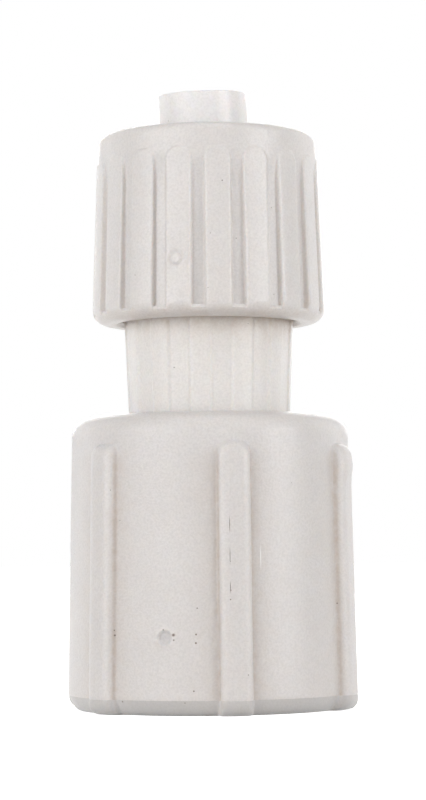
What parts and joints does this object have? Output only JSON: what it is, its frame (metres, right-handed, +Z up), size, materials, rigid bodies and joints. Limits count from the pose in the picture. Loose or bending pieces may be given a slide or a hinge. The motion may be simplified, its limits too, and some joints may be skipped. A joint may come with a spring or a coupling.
{
  "type": "compression fitting",
  "caption": "Plastic tube compression fitting: ribbed hand nut and tube insert above a fluted neck, with a winged female swivel nut for a pipe thread.",
  "frame": {"origin": "on the fitting's axis, at the swivel nut's bottom face, which it stands on", "axes": "+Z up the waterway towards the tube end; the picture looks along +Y, with +X to its right"},
  "size_m": [0.0292, 0.0302, 0.0615],
  "materials": {
    "nut_acetal": "satin moulded acetal, off-white",
    "body_acetal": "satin moulded acetal, off-white",
    "insert_plastic": "natural translucent plastic",
    "seal_plastic": "soft white plastic",
    "washer_rubber": "moulded black rubber",
    "ring_steel": "stamped stainless sheet"
  },
  "bodies": {
    "fitting": {"fitting_body": "body_acetal", "tail_washer": "washer_rubber"},
    "insert": {"tube_insert": "insert_plastic"},
    "clamp_rings": {"cone_seal": "seal_plastic", "thrust_ring": "body_acetal", "grab_ring": "ring_steel"},
    "hand_nut": {"compression_nut": "nut_acetal"},
    "tail_nut": {"swivel_nut": "nut_acetal"}
  },
  "joints": [
    {"name": "insert_lift", "type": "slide", "parent": "fitting", "child": "insert", "axis": [0, 0, 1], "range_m": [0, 0.009]},
    {"name": "rings_rise", "type": "slide", "parent": "fitting", "child": "clamp_rings", "axis": [0, 0, 1], "range_m": [0, 0.0065]},
    {"name": "nut_turn", "type": "hinge", "parent": "clamp_rings", "child": "hand_nut", "pos_m": [0, 0, 0.0478], "axis": [0, 0, 1], "range_deg": [0, 1170]},
    {"name": "swivel_spin", "type": "hinge", "parent": "fitting", "child": "tail_nut", "pos_m": [0, 0, 0.0145], "axis": [0, 0, 1], "continuous": true}
  ],
  "couplings": [
    {"joint": "rings_rise", "follows": "nut_turn", "m_per_rad": 0.00031831}
  ]
}
